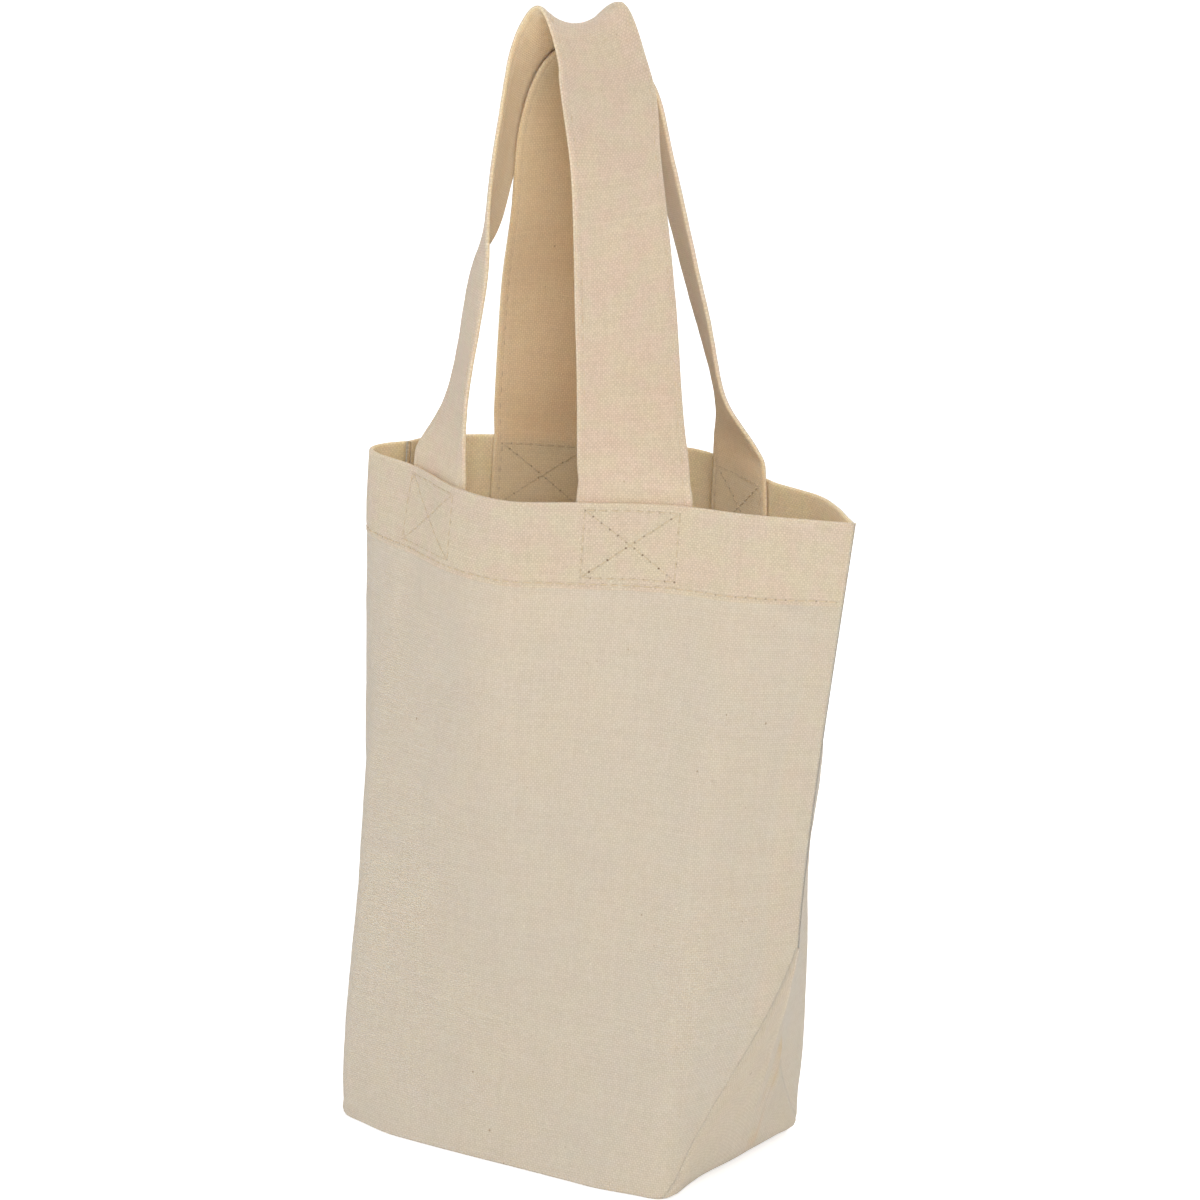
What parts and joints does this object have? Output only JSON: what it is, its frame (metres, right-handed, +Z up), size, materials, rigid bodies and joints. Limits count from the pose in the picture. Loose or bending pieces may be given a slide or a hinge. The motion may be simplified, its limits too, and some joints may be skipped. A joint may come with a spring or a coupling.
{
  "type": "mini tote bag",
  "caption": "Small natural cotton tote bag standing open on a flat boxed base, with folded-in bottom corners, a wide stitched hem and two wide carrying handles gathered upright above the mouth",
  "frame": {"origin": "centre of the outline box on the floor the bag stands on", "axes": "+Z up through the mouth, -Y out of the front panel, +X to the right of someone facing the front panel"},
  "size_m": [0.1764, 0.0908, 0.361],
  "materials": {
    "cloth": "matte plain weave",
    "strap": "matte plain weave",
    "edging": "matte overlocked edge",
    "thread": "matte thread"
  },
  "bodies": {
    "bag": {"front_panel": "cloth", "back_panel": "cloth", "bottom_gusset": "cloth", "left_side_seam": "edging", "right_side_seam": "edging", "front_left_strap_end": "strap", "front_left_box_stitch": "thread", "front_right_strap_end": "strap", "front_right_box_stitch": "thread", "front_hem_stitch": "thread", "back_left_strap_end": "strap", "back_left_box_stitch": "thread", "back_right_strap_end": "strap", "back_right_box_stitch": "thread", "back_hem_stitch": "thread"},
    "front_handle_body": {"front_handle": "strap", "front_handle_first_edge_stitch": "thread", "front_handle_second_edge_stitch": "thread"},
    "back_handle_body": {"back_handle": "strap", "back_handle_first_edge_stitch": "thread", "back_handle_second_edge_stitch": "thread"}
  },
  "joints": [
    {"name": "front_handle_swing", "type": "hinge", "parent": "bag", "child": "front_handle_body", "pos_m": [-0.01169, -0.03563, 0.2184], "axis": [0.99, 0.1409, 0], "range_deg": [0, 140]},
    {"name": "back_handle_swing", "type": "hinge", "parent": "bag", "child": "back_handle_body", "pos_m": [-0.01333, 0.03926, 0.2184], "axis": [-0.9988, -0.0497, 0], "range_deg": [0, 120]}
  ]
}
